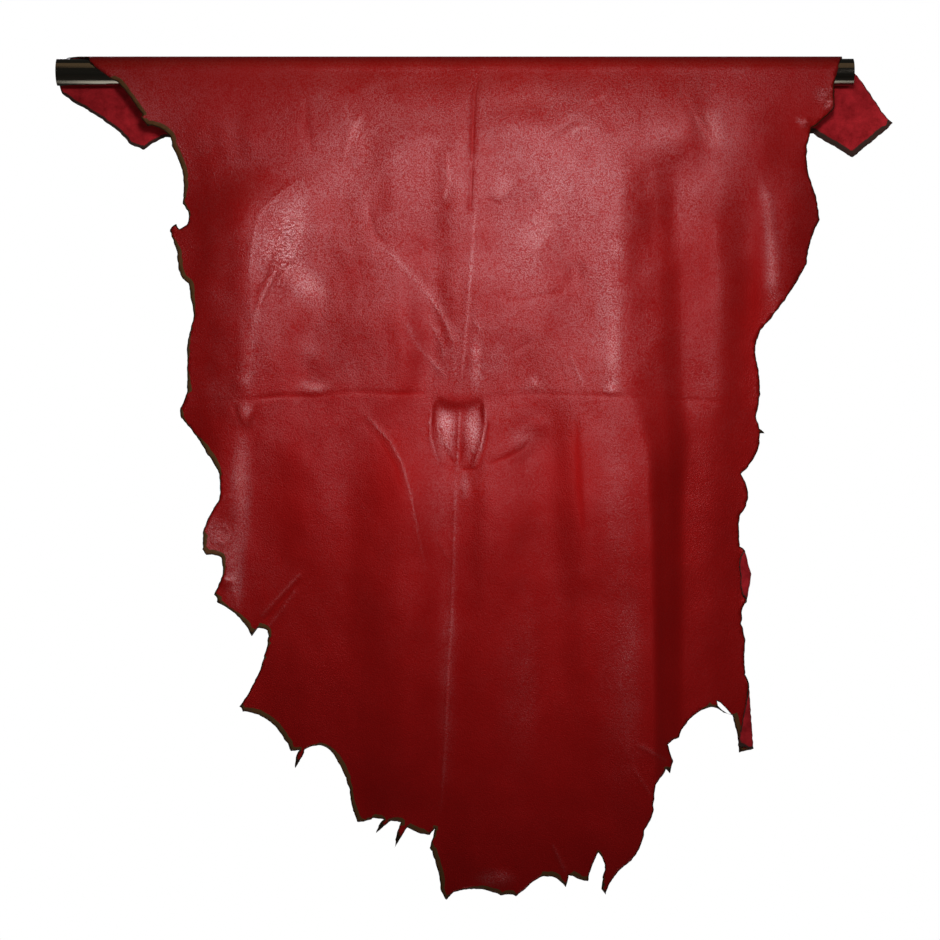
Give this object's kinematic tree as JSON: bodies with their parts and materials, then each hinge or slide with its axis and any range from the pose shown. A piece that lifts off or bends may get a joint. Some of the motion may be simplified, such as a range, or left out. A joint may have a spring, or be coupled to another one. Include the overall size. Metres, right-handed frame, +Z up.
{
  "type": "leather hide hung over a horizontal bar",
  "caption": "Whole dyed goat-size leather hide with an uneven trimmed edge, hung over a plain round metal bar, long panel to the front and short flaps behind.",
  "frame": {"origin": "centre of the bar's left end face, where the bar is held", "axes": "+X along the bar to the right as seen from the front, -Y to the front where the long panel hangs, +Z up"},
  "size_m": [0.845, 0.0509, 0.8457],
  "materials": {
    "leather": "drum-dyed deep red, smooth pebbled grain side with a soft sheen, napped flesh side",
    "steel": "polished bright round bar"
  },
  "bodies": {
    "root": {"hide": "leather", "bar": "steel"}
  },
  "joints": []
}
